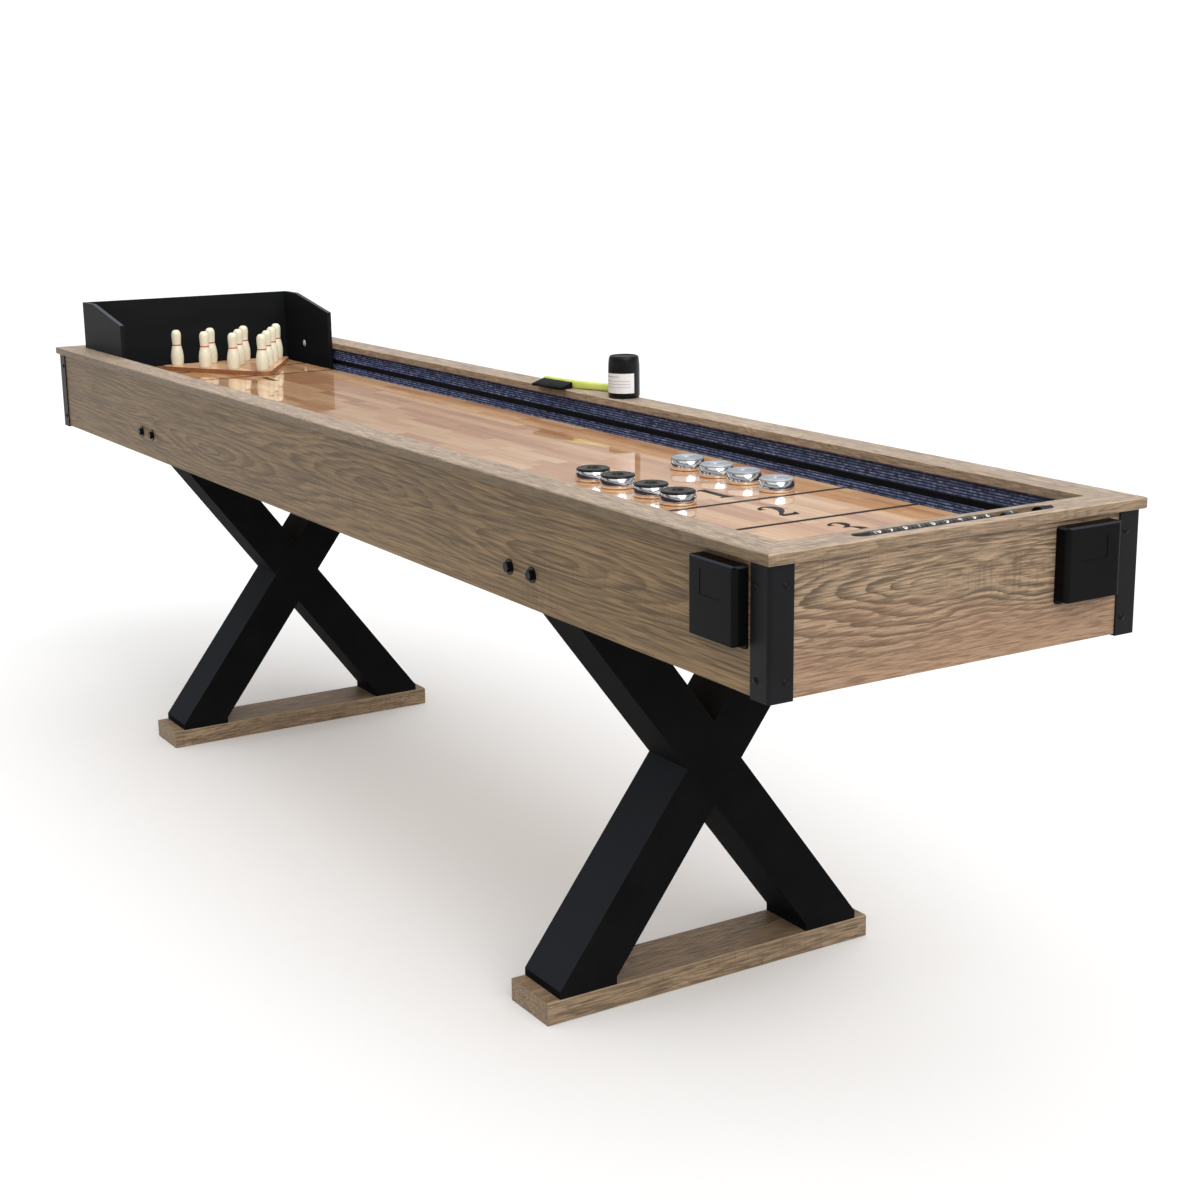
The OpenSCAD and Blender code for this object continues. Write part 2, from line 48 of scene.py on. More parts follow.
RAIL_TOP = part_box("rail_near")[1][2]
FIELD_LOW, FIELD_HIGH = (Vector(corner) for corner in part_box("playfield"))
FIELD_TOP = FIELD_HIGH.z
WALL_HIGH = Vector(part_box("gutter_band")[1])
CARPET_LOW, CARPET_HIGH = (Vector(corner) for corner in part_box("gutter_carpet"))
CARPET_T = 0.003
RIBS_UP = 18
RIB_PITCH = (CARPET_HIGH.z - CARPET_LOW.z - CARPET_T) / RIBS_UP
PIN_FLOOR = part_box("pin_board")[1][2]


# ---- node trees ----


def rgb(red, green, blue):
    """A linear colour from one written in the usual 0 to 255 steps."""
    return tuple(((c / 255 + 0.055) / 1.055) ** 2.4 if c > 10 else c / 255 / 12.92
                 for c in (red, green, blue)) + (1.0,)


class Paint:
    """A material's node tree, with one short call for each kind of node that the materials use."""

    def __init__(self, name, roughness=0.5, **sockets):
        self.material = bpy.data.materials.new(name)
        self.material.use_nodes = True
        self.tree = self.material.node_tree
        self.shader = self.tree.nodes["Principled BSDF"]
        self.shader.inputs["Roughness"].default_value = roughness
        for socket, value in sockets.items():
            self.shader.inputs[socket.replace("_", " ")].default_value = value
        self.place = self.add("TexCoord").outputs["Object"]

    def add(self, kind, inputs=None, **settings):
        node = self.tree.nodes.new("ShaderNode" + kind)
        for setting, value in settings.items():
            setattr(node, setting, value)
        for socket, value in (inputs or {}).items():
            if isinstance(value, bpy.types.NodeSocket):
                self.tree.links.new(value, node.inputs[socket])
            else:
                node.inputs[socket].default_value = value
        return node

    def scaled(self, scale, offset=(0, 0, 0)):
        mapping = self.add("Mapping", {"Vector": self.place, "Scale": scale, "Location": offset})
        return mapping.outputs["Vector"]

    def noise(self, vector, scale, detail=3.0, roughness=0.5):
        inputs = {"Vector": vector, "Scale": scale, "Detail": detail, "Roughness": roughness}
        return self.add("TexNoise", inputs).outputs["Fac"]

    def math(self, operation, a, b=0.0):
        return self.add("Math", {0: a, 1: b}, operation=operation).outputs[0]

    def plus(self, a, b):
        return self.math("ADD", a, b)

    def minus(self, a, b):
        return self.math("SUBTRACT", a, b)

    def times(self, a, b):
        return self.math("MULTIPLY", a, b)

    def swing(self, noise, amount):
        """Noise moved to both sides of 0, as far as half the amount."""
        return self.times(self.minus(noise, 0.5), amount)

    def axes(self, vector):
        split = self.add("SeparateXYZ", {0: vector})
        return split.outputs[0], split.outputs[1], split.outputs[2]

    def facing(self):
        """The three parts of the direction the surface faces, in the object's own frame."""
        return self.axes(self.add("TexCoord").outputs["Normal"])

    def ramp(self, value, *stops):
        node = self.add("ValToRGB", {0: value})
        elements = node.color_ramp.elements
        while len(elements) < len(stops):
            elements.new(0.5)
        for element, (position, colour) in zip(elements, stops):
            element.position = position
            element.color = colour
        return node.outputs["Color"]

    def mix(self, share, a, b):
        node = self.add("Mix", {0: share, 6: a, 7: b}, data_type="RGBA")
        return node.outputs[2]

    def spread(self, value, low, high):
        """value from low to high as 0 to 1, held at both ends."""
        inputs = {"Value": value, "From Min": low, "From Max": high}
        return self.add("MapRange", inputs).outputs["Result"]

    def edges(self):
        """1 on bevels between the faces of a square-edged board, 0 on the faces."""
        face_limit = 0.93
        x, y, z = (self.math("ABSOLUTE", part) for part in self.facing())
        largest = self.math("MAXIMUM", self.math("MAXIMUM", x, y), z)
        return self.math("LESS_THAN", largest, face_limit)

    def bump(self, height, distance, strength=1.0, after=None):
        inputs = {"Height": height, "Distance": distance, "Strength": strength}
        if after:
            inputs["Normal"] = after
        return self.add("Bump", inputs).outputs["Normal"]

    def finish(self, colour=None, roughness=None, normal=None, metallic=None):
        sockets = {"Base Color": colour, "Roughness": roughness, "Normal": normal, "Metallic": metallic}
        for socket, value in sockets.items():
            if value is not None:
                self.tree.links.new(value, self.shader.inputs[socket])
        return self.material


# ---- materials ----

# a wood's dark, middle, light and edge colour, as shares of its middle tone; the edge colour on bevels is
# partly worn edges and partly painted highlight
WOOD_SHADES = (0.40, 1.0, 1.62, 1.8)


def tones(red, green, blue):
    """The four colours of a wood whose middle tone is given in the usual 0 to 255 steps."""
    middle_tone = rgb(red, green, blue)
    return tuple(tuple(part * share for part in middle_tone[:3]) + (1.0,) for share in WOOD_SHADES)


# rings in each metre of their height map, and how much faster it rises across the grain
RINGS_PER_METRE = 46.0
RISE_ACROSS = 2.7
# the redder tone low on a board starts at the first level and is full at the second, in metres
BLUSH_COLOUR = rgb(142, 104, 82)
BLUSH_START, BLUSH_FULL = 0.705, 0.665


def oak(name, grain_axis, shades, seed, hearts=(), figure=0.5, top=None, blush=0.0, stretch=1.0):
    """Driftwood oak laminate with its grain along axis 0 (X) or 1 (Y). Each heart is the middle of a nest
    of cathedral rings, as metres along the grain and up, and figure is how dark the rings are. Stretch
    draws the rings and the grain out along the board. The shades run from dark to light, and top gives
    the lighter shades of the faces that look up, as painted light. Blush is the share of a redder tone
    low on the board."""
    paint = Paint(name, Specular_IOR_Level=0.3 if top else 0.16)
    place = paint.axes(paint.place)
    run, level = place[grain_axis], place[2]
    shift = (seed * 1.37, seed * 0.71, seed * 0.53)

    def along(length_scale, cross_scale):
        """Places stretched along the grain: cells per metre along it and across it."""
        scale = [cross_scale] * 3
        scale[grain_axis] = length_scale
        return paint.scaled(scale, shift)

    broad = paint.noise(along(1.7, 14.0), 1.0, 3.0, 0.55)
    streak = paint.noise(along(7.0 / stretch, 130.0), 1.0, 3.0, 0.6)
    fibre = paint.noise(along(26.0 / stretch, 430.0), 1.0, 4.0, 0.72)
    pores = paint.noise(along(30.0 / stretch, 470.0), 1.0, 2.0, 0.5)
    saw = paint.noise(along(260.0, 12.0), 1.0, 2.0, 0.5)
    saw_patch = paint.spread(paint.noise(along(5.0, 16.0), 1.0, 2.0), 0.50, 0.62)

    # growth rings are the contour lines of a height that rises from each heart
    warp = paint.swing(paint.noise(along(5.0 / stretch, 15.0), 1.0, 3.0, 0.5), 0.17)
    ragged = paint.swing(paint.noise(along(18.0 / stretch, 240.0), 1.0, 3.0, 0.65), 0.5)
    height = None
    for middle_run, middle_level in hearts:
        away = paint.math("ABSOLUTE", paint.minus(run, middle_run))
        away = paint.math("DIVIDE", away, stretch)
        away = paint.math("DIVIDE", away, paint.plus(1.0, paint.times(away, 3.0)))
        up = paint.plus(paint.times(paint.minus(level, middle_level), RISE_ACROSS), warp)
        reach = paint.math("SQRT", paint.plus(paint.times(away, away), paint.times(up, up)))
        if height is None:
            height = reach
        else:
            height = paint.add("Math", {0: height, 1: reach, 2: 0.03}, operation="SMOOTH_MIN").outputs[0]
    if height is None:
        height = paint.plus(paint.times(broad, 0.5), warp)
    phase = paint.math("FRACT", paint.plus(paint.times(height, RINGS_PER_METRE), ragged))
    rings = paint.times(paint.spread(phase, 0.30, 0.92), paint.spread(phase, 1.0, 0.93))
    rings = paint.times(rings, paint.spread(broad, 0.30, 0.48))
    if hearts:
        rings = paint.times(rings, paint.spread(height, 0.26, 0.14))

    tone = paint.times(rings, -figure)
    for part, share in ((broad, 0.42), (streak, 0.42), (fibre, 1.35)):
        tone = paint.plus(tone, paint.swing(part, share))
    tone = paint.plus(tone, 0.50 + 0.30 * figure)
    dark, mid, light, edge = shades
    colour = paint.ramp(tone, (0.16, dark), (0.50, mid), (0.84, light))
    # painted light: the faces that look up take the lighter top shades, standing in for the light from
    # above
    if top:
        lit_top_mask = paint.math("GREATER_THAN", paint.facing()[2], 0.7)
        lit_top_colour = paint.ramp(tone, (0.15, top[0]), (0.50, top[1]), (0.85, top[2]))
        colour = paint.mix(lit_top_mask, colour, lit_top_colour)
    pore_share = paint.times(paint.spread(pores, 0.53, 0.60), 0.32 if top else 0.70)
    colour = paint.mix(pore_share, colour, dark)
    saw_share = paint.times(paint.times(paint.spread(saw, 0.52, 0.66), saw_patch), 0.30)
    colour = paint.mix(saw_share, colour, dark)
    if blush:
        low_part = paint.spread(paint.plus(level, warp), BLUSH_START, BLUSH_FULL)
        colour = paint.mix(paint.times(low_part, blush), colour, BLUSH_COLOUR)
    # the bevels take the paler edge colour: partly worn edges, partly painted highlight
    colour = paint.mix(paint.times(paint.edges(), 0.4), colour, edge)
    rough = paint.plus(0.32, paint.times(fibre, 0.25))
    normal = paint.bump(fibre, 0.0005, 0.6)
    normal = paint.bump(rings, 0.0003, 0.2, normal)
    return paint.finish(colour, rough, normal)


def butcher_block(name, shades, strip, stave, coat, side=None):
    """Staves glued side by side along X: strip is their width and stave their length. Coat is the clear
    coat's weight and roughness, and side is the colour of the board's edges."""
    dark, mid, light = shades
    paint = Paint(name, 0.38, Specular_IOR_Level=0.4, Coat_Weight=coat[0], Coat_Roughness=coat[1],
                  Coat_IOR=1.5)
    sockets = {"Vector": paint.scaled((1.0, 1.0, 0.0), (0.11, 0.004, 0.0)), "Color1": (0, 0, 0, 1),
               "Color2": (1, 1, 1, 1), "Mortar": (0.3, 0.3, 0.3, 1), "Scale": 1.0, "Mortar Size": 0.0004,
               "Mortar Smooth": 0.3, "Brick Width": stave, "Row Height": strip}
    staves = paint.add("TexBrick", sockets, offset=0.37, offset_frequency=3, squash=1.3,
                       squash_frequency=2)
    shade = paint.axes(staves.outputs["Color"])[0]
    # each stave's own grain: the noise is moved by the stave's shade
    jump = paint.add("CombineXYZ", {0: paint.times(shade, 37.0), 1: paint.times(shade, 91.0)})
    moves = {0: paint.scaled((7.0, 130.0, 130.0)), 1: jump.outputs[0]}
    moved = paint.add("VectorMath", moves, operation="ADD").outputs[0]
    grain = paint.noise(moved, 1.0, 4.0, 0.65)
    fine = paint.noise(paint.scaled((22.0, 900.0, 900.0)), 1.0, 2.0)
    tone = paint.times(shade, 0.46)
    tone = paint.plus(tone, paint.times(grain, 0.62))
    tone = paint.plus(tone, paint.times(fine, 0.34))
    tone = paint.minus(tone, 0.22)
    colour = paint.ramp(tone, (0.15, dark), (0.48, mid), (0.82, light))
    colour = paint.mix(paint.times(staves.outputs["Fac"], 0.5), colour, dark)
    if side:
        on_side = paint.math("LESS_THAN", paint.facing()[2], 0.5)
        colour = paint.mix(on_side, colour, paint.mix(grain, side, dark))
    return paint.finish(colour, normal=paint.bump(grain, 0.0001, 0.12))


def ribbed_carpet(name):
    """Navy needle-felt carpet: broken light flecks along the ribs, with painted shade in the grooves
    between them.
    """
    paint = Paint(name, 0.95, Sheen_Weight=0.15, Sheen_Roughness=0.5, Specular_IOR_Level=0.1)
    x, y, z = paint.axes(paint.place)
    end_wall = paint.math("GREATER_THAN", paint.math("ABSOLUTE", x), CARPET_HIGH.x - 0.005)
    # run goes along the wall, across goes away from it, and ribs counts the ribs down from the top
    run = paint.add("Mix", {0: end_wall, 2: x, 3: y}).outputs[0]
    across = paint.add("Mix", {0: end_wall, 2: y, 3: x}).outputs[0]
    ribs = paint.math("DIVIDE", paint.minus(CARPET_HIGH.z, z), RIB_PITCH)
    rib = paint.math("FLOOR", ribs)
    felt = paint.add("CombineXYZ", {0: paint.times(run, 105.0), 1: paint.times(across, 300.0),
                                    2: paint.times(rib, 7.7)}).outputs[0]
    fleck = paint.noise(felt, 1.0, 3.0, 0.65)
    tuft = paint.noise(paint.scaled((900.0, 900.0, 900.0)), 1.0, 2.0, 0.6)
    tone = paint.plus(fleck, paint.swing(tuft, 0.30))
    colour = paint.ramp(tone, (0.33, rgb(50, 56, 86)), (0.45, rgb(95, 106, 150)),
                        (0.56, rgb(126, 139, 188)), (0.70, rgb(186, 196, 232)))
    # painted shade: the grooves between the ribs are darkened almost to black
    off_middle = paint.math("ABSOLUTE", paint.minus(paint.math("FRACT", ribs), 0.5))
    groove_shade = paint.times(paint.spread(off_middle, 0.20, 0.34), 0.95)
    colour = paint.mix(groove_shade, colour, rgb(8, 9, 14))
    return paint.finish(colour, normal=paint.bump(tuft, 0.0006, 0.6))


def coated(name, base, raised, roughness, grain=900.0, depth=0.00012, metallic=0.0, shine=0.5, lit_slope=None):
    """Powder coat, paint or moulded plastic: an even colour from base to raised, with a fine skin of
    grain cells per metre and depth metres. Lit slope is painted light: the paler colour of the sloping
    faces that look up."""
    paint = Paint(name, roughness, Metallic=metallic, Specular_IOR_Level=shine)
    skin = paint.noise(paint.scaled((grain,) * 3), 1.0, 2.0, 0.5)
    cloud = paint.noise(paint.scaled((11.0,) * 3), 1.0, 3.0, 0.6)
    colour = paint.mix(paint.spread(cloud, 0.35, 0.7), base, raised)
    # painted light: sloping faces that look up take a paler colour, standing in for the light from above
    if lit_slope:
        tilt = paint.facing()[2]
        on_lit_slope = paint.times(paint.math("GREATER_THAN", tilt, 0.3), paint.math("LESS_THAN", tilt, 0.95))
        colour = paint.mix(on_lit_slope, colour, lit_slope)
    rough = paint.plus(roughness - 0.05, paint.times(cloud, 0.12))
    return paint.finish(colour, rough, paint.bump(skin, depth, 0.5))


def black_board(name):
    """Black melamine on board, with a painted highlight: its top edges, which look up, are a lighter
    grey.
    """
    paint = Paint(name, 0.55, Specular_IOR_Level=0.06)
    # painted highlight: the faces that look up, the sloped top edges, take a lighter bluish grey
    top = paint.math("GREATER_THAN", paint.facing()[2], 0.3)
    cloud = paint.noise(paint.scaled((6.0, 6.0, 30.0)), 1.0, 3.0)
    colour = paint.mix(cloud, rgb(20, 20, 22), rgb(29, 31, 32))
    colour = paint.mix(paint.times(top, 0.85), colour, rgb(78, 80, 90))
    skin = paint.noise(paint.scaled((700.0,) * 3), 1.0, 2.0)
    return paint.finish(colour, normal=paint.bump(skin, 0.0001, 0.4))


def chrome(name):
    """Polished steel with faint turned rings and smudges."""
    paint = Paint(name, 0.09, Metallic=1.0)
    tool_marks = paint.noise(paint.scaled((0.0, 0.0, 4200.0)), 1.0, 2.0)
    smudge = paint.noise(paint.scaled((90.0,) * 3), 1.0, 3.0, 0.6)
    colour = paint.mix(smudge, rgb(228, 230, 232), rgb(244, 245, 246))
    rough = paint.plus(0.04, paint.times(smudge, 0.08))
    return paint.finish(colour, rough, paint.bump(tool_marks, 0.00004, 0.5))


def screw_metal(name):
    """Black screws, apart from the two bright ones inside the backstop."""
    paint = Paint(name, 0.3, Specular_IOR_Level=0.12)
    x, y = paint.axes(paint.place)[:2]
    inside_y, pin_end_x = WALL_HIGH.y - 0.012, -1.0
    inside = paint.math("LESS_THAN", paint.math("ABSOLUTE", y), inside_y)
    bright = paint.times(inside, paint.math("LESS_THAN", x, pin_end_x))
    scratch = paint.noise(paint.scaled((600.0,) * 3), 1.0, 3.0)
    black = paint.mix(scratch, rgb(6, 6, 7), rgb(14, 14, 15))
    steel = paint.mix(scratch, rgb(205, 207, 210), rgb(240, 241, 243))
    colour = paint.mix(bright, black, steel)
    metal = paint.times(bright, 0.35)
    return paint.finish(colour, normal=paint.bump(scratch, 0.0001, 0.3), metallic=metal)


def pin_plastic(name, band_low, band_high):
    """Cream moulded pin with a thin red band painted round its neck."""
    paint = Paint(name, 0.28, Coat_Weight=0.4, Coat_Roughness=0.08)
    z = paint.axes(paint.place)[2]
    ragged = paint.times(paint.noise(paint.scaled((160.0,) * 3), 1.0, 2.0), 0.0008)
    level = paint.plus(z, ragged)
    band = paint.times(paint.math("GREATER_THAN", level, band_low),
                      paint.math("LESS_THAN", level, band_high))
    cloud = paint.noise(paint.scaled((45.0,) * 3), 1.0, 3.0)
    cream = paint.mix(cloud, rgb(214, 210, 184), rgb(231, 228, 206))
    colour = paint.mix(band, cream, rgb(178, 14, 32))
    return paint.finish(colour, normal=paint.bump(cloud, 0.0002, 0.15))


def paper(name):
    """Off-white label paper with a faint mottle."""
    paint = Paint(name, 0.6)
    mottle = paint.noise(paint.scaled((300.0,) * 3), 1.0, 3.0)
    return paint.finish(paint.mix(mottle, rgb(214, 214, 214), rgb(238, 238, 238)),
                        normal=paint.bump(mottle, 0.0001, 0.2))


def plywood(name):
    """Plain pale board with thin veneer layers."""
    paint = Paint(name, 0.7)
    layers = paint.noise(paint.scaled((3.0, 3.0, 600.0)), 1.0, 2.0)
    grain = paint.noise(paint.scaled((6.0, 120.0, 120.0)), 1.0, 3.0)
    tone = paint.plus(paint.times(layers, 0.5), paint.times(grain, 0.5))
    return paint.finish(paint.ramp(tone, (0.3, rgb(176, 134, 92)), (0.7, rgb(222, 186, 140))),
                        normal=paint.bump(grain, 0.0003, 0.4))


# painted light: the lighter shades that every rail's top takes, standing in for the light from above
RAIL_LIT_TOP_SHADES = tones(168, 149, 130)
NEAR_HEARTS = ((-1.02, 0.722), (-0.42, 0.690), (0.30, 0.728), (0.88, 0.712))
END_HEARTS = ((-0.060, 0.732), (0.135, 0.730))
MATERIALS = {
    # painted shade and light: the boards along the table take darker tones and the boards across it
    # lighter tones, though all are one laminate, as the scorer end faces the key light
    "oak_x_near": oak("oak_along_near_painted_shade", 0, tones(113, 92, 65), 1.0, NEAR_HEARTS, figure=0.30,
                      stretch=2.8),
    "oak_x_far": oak("oak_along_far_painted_shade", 0, tones(113, 93, 67), 3.0, NEAR_HEARTS, figure=0.30,
                     stretch=2.8),
    "oak_y": oak("oak_across_painted_light", 1, tones(136, 115, 93), 5.0, END_HEARTS, figure=0.54, blush=0.36,
                 stretch=1.2),
    "oak_foot": oak("oak_foot", 1, tones(136, 116, 93), 8.0, figure=0.2, stretch=1.4),
    # painted shade and light: one laminate takes darker tones on the near rail, whose outer side is in
    # shade, and lighter tones on the far rail, to lift its inner side out of the gutter's shade
    "rail_near": oak("oak_rail_near_painted_shade", 0, tones(101, 83, 58), 11.0, figure=0.2, top=RAIL_LIT_TOP_SHADES),
    "rail_far": oak("oak_rail_far_painted_light", 0, tones(164, 143, 119), 12.0, figure=0.2, top=RAIL_LIT_TOP_SHADES),
    "rail_y": oak("oak_rail_across", 1, tones(133, 112, 89), 14.0, figure=0.2, top=RAIL_LIT_TOP_SHADES),
    "playfield": butcher_block("maple_gloss", (rgb(172, 110, 62), rgb(204, 150, 100), rgb(225, 184, 138)),
                               strip=0.024, stave=0.15, coat=(1.0, 0.03)),
    "pin_board": butcher_block("maple_board", (rgb(168, 118, 82), rgb(198, 148, 108), rgb(216, 174, 136)),
                               strip=0.06, stave=0.4, coat=(0.35, 0.2), side=rgb(104, 58, 30)),
    "carpet": ribbed_carpet("navy_carpet"),
    "band": coated("black_band", rgb(8, 8, 9), rgb(15, 15, 16), 0.5, shine=0.2),
    "black_wood": coated("black_legs", rgb(13, 13, 14), rgb(18, 18, 20), 0.7, grain=500.0, shine=0.03,
                         lit_slope=rgb(34, 36, 40)),
    "powder": coated("black_powder_coat", rgb(13, 13, 15), rgb(20, 20, 23), 0.42, grain=1100.0,
                     shine=0.12),
    "bolt": coated("black_bolt", rgb(6, 6, 7), rgb(12, 12, 13), 0.3, grain=700.0, shine=0.12),
    "screws": screw_metal("screw_metal"),
    "plastic": coated("black_plastic", rgb(7, 7, 7), rgb(11, 11, 11), 0.36, grain=1300.0, shine=0.06,
                      lit_slope=rgb(44, 47, 54)),
    "can": coated("can_plastic", rgb(7, 7, 8), rgb(12, 12, 14), 0.28, grain=300.0, depth=0.00003,
                  shine=0.2),
    "bead": coated("bead_plastic", rgb(9, 9, 10), rgb(16, 16, 18), 0.14, grain=300.0, depth=0.00003),
    "board": black_board("backstop_board"),
    "chrome": chrome("puck_chrome"),
    "rod": chrome("rod_steel"),
    "cap_black": coated("puck_cap_black", rgb(6, 6, 7), rgb(12, 12, 13), 0.2, grain=400.0, depth=0.00004,
                        shine=0.3),
    "cap_silver": coated("puck_cap_silver", rgb(150, 158, 168), rgb(186, 193, 202), 0.26, grain=400.0,
                         depth=0.00004, metallic=0.35),
    "pin": pin_plastic("pin_plastic", PIN_FLOOR + 0.0454, PIN_FLOOR + 0.0480),
    "plywood": plywood("plywood"),
    "paper": paper("label_paper"),
    "print_white": coated("white_print", rgb(222, 222, 220), rgb(240, 240, 238), 0.5),
    "print_black": coated("black_print", rgb(10, 9, 9), rgb(17, 15, 14), 0.4, grain=300.0, depth=0.00002,
                          shine=0.1),
    "print_grey": coated("grey_print", rgb(120, 120, 122), rgb(150, 150, 152), 0.6),
    "lime": coated("lime_plastic", rgb(198, 212, 84), rgb(222, 232, 128), 0.35, grain=300.0),
    "bristle": coated("bristles", rgb(10, 10, 11), rgb(30, 31, 33), 0.5, grain=300.0, shine=0.15),
}

NODE_MATERIALS = {
    "apron_near": "oak_x_near", "apron_far": "oak_x_far", "apron_scorer_end": "oak_y",
    "apron_pin_end": "oak_y", "rail_near": "rail_near", "rail_far": "rail_far",
    "rail_scorer_end": "rail_y", "rail_pin_end": "rail_y", "liner_boards": "plywood",
    "corner_brackets": "powder",
    "cabinet_screws": "screws", "cabinet_floor": "plywood", "playfield_cradles": "plywood",
    "playfield": "playfield", "gutter_band": "band", "leg_beams_a": "black_wood",
    "leg_beams_b": "black_wood", "leg_top_blocks": "black_wood", "leg_foot_boards": "oak_foot",
    "leg_bolts": "bolt", "score_rod": "rod", "score_end_caps": "plastic", "near_cup_base": "plastic",
    "near_cup_tray": "plastic", "end_cup_base": "plastic", "end_cup_tray": "plastic",
    "backstop_back": "board", "backstop_sides": "board", "pin_board": "pin_board",
}


def paint_node(node, material):
    mesh = nodes[node].data
    mesh.materials.clear()
    mesh.materials.append(MATERIALS[material])


# ---- mesh helpers ----


def new_object(name, vertices, faces, material, smooth=True):
    mesh = bpy.data.meshes.new(name)
    mesh.from_pydata(vertices, [], faces)
    mesh.validate()
    mesh.materials.append(MATERIALS[material])
    if smooth:
        mesh.shade_smooth()
    made = bpy.data.objects.new(name, mesh)
    bpy.context.collection.objects.link(made)
    return made


def smooth_line(points, steps):
    """Points on a Catmull-Rom curve through the given ones. Each point is a tuple of any length."""
    padded = [points[0], *points, points[-1]]
    line = []
    for before, start, end, after in zip(padded, padded[1:], padded[2:], padded[3:]):
        for i in range(steps):
            t = i / steps
            line.append(tuple(
                0.5 * (2 * p1 + (p2 - p0) * t + (2 * p0 - 5 * p1 + 4 * p2 - p3) * t ** 2
                       + (3 * p1 - p0 - 3 * p2 + p3) * t ** 3)
                for p0, p1, p2, p3 in zip(before, start, end, after)))
    return line + [points[-1]]


def turned(name, profile, place, material, sides=48):
    """A body of revolution about Z from (radius, height) points in millimetres, closed on its axis."""
    vertices, faces = [], []
    for radius, height in profile:
        for i in range(sides):
            angle = 2 * math.pi * i / sides
            vertices.append((place.x + radius * MM * math.cos(angle),
                             place.y + radius * MM * math.sin(angle), place.z + height * MM))
    for row in range(len(profile) - 1):
        for i in range(sides):
            j = (i + 1) % sides
            faces.append((row * sides + i, row * sides + j,
                          (row + 1) * sides + j, (row + 1) * sides + i))
    faces.append(tuple(range(sides - 1, -1, -1)))
    last = (len(profile) - 1) * sides
    faces.append(tuple(range(last, last + sides)))
    made = new_object(name, vertices, faces, material)
    made.modifiers.new("edges", "EDGE_SPLIT").split_angle = math.radians(35)
    return made


def upward(made):
    """Turn every face of a printed piece so that it looks up."""
    for face in made.data.polygons:
        if face.normal.z < 0:
            face.flip()
    made.data.update()


def install(piece, body, slot, *replaced):
    """Ride the body and stand for the given CAD nodes, which are hidden. The slot is not used."""
    if replaced:
        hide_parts(*replaced)
    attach(piece, body)


# ---- numerals ----
# A numeral is drawn in a box half as wide as it is high. Each stroke is a list of (across, up, width).

ROUND, STRAIGHT = True, False


def ring(middle_x, middle_y, radius_x, radius_y, width):
    """A closed oval stroke."""
    parts = 8
    turn = [2 * math.pi * i / parts for i in range(parts + 1)]
    return ROUND, [(middle_x + radius_x * math.sin(a), middle_y + radius_y * math.cos(a), width)
                   for a in turn]


def plain_numeral(digit):
    """A numeral with strokes of one width, w."""
    w = 0.16
    if digit == 0:
        return [ring(0.25, 0.5, 0.19, 0.44, w)]
    if digit == 1:
        return [(STRAIGHT, [(0.27, 0.0, w), (0.27, 1.0, w)]),
                (STRAIGHT, [(0.27, 0.97, w), (0.08, 0.80, w)])]
    if digit == 2:
        return [(ROUND, [(0.06, 0.72, w), (0.12, 0.90, w), (0.27, 0.95, w), (0.42, 0.84, w),
                         (0.40, 0.60, w), (0.20, 0.30, w), (0.06, 0.06, w)]),
                (STRAIGHT, [(0.02, 0.06, w), (0.48, 0.06, w)])]
    if digit == 3:
        return [(ROUND, [(0.07, 0.82, w), (0.20, 0.95, w), (0.38, 0.90, w), (0.41, 0.70, w),
                         (0.22, 0.54, w)]),
                (ROUND, [(0.22, 0.54, w), (0.42, 0.42, w), (0.43, 0.16, w), (0.24, 0.05, w),
                         (0.06, 0.17, w)])]
    if digit == 4:
        return [(STRAIGHT, [(0.37, 0.0, w), (0.37, 1.0, w)]),
                (STRAIGHT, [(0.37, 0.97, w), (0.04, 0.30, w)]),
                (STRAIGHT, [(0.02, 0.28, w), (0.50, 0.28, w)])]
    if digit == 5:
        return [(STRAIGHT, [(0.44, 0.94, w), (0.12, 0.94, w)]),
                (STRAIGHT, [(0.13, 0.96, w), (0.09, 0.52, w)]),
                (ROUND, [(0.09, 0.54, w), (0.26, 0.61, w), (0.43, 0.45, w), (0.42, 0.18, w),
                         (0.24, 0.05, w), (0.06, 0.14, w)])]
    if digit == 7:
        return [(STRAIGHT, [(0.04, 0.94, w), (0.46, 0.94, w)]),
                (STRAIGHT, [(0.44, 0.94, w), (0.17, 0.0, w)])]
    if digit == 8:
        return [ring(0.25, 0.74, 0.15, 0.21, w), ring(0.25, 0.28, 0.19, 0.24, w)]
    six = [ring(0.25, 0.29, 0.19, 0.25, w),
           (ROUND, [(0.06, 0.32, w), (0.10, 0.66, w), (0.24, 0.90, w), (0.40, 0.95, w)])]
    if digit == 6:
        return six
    return [(kind, [(0.5 - x, 1.0 - y, w) for x, y, w in points]) for kind, points in six]


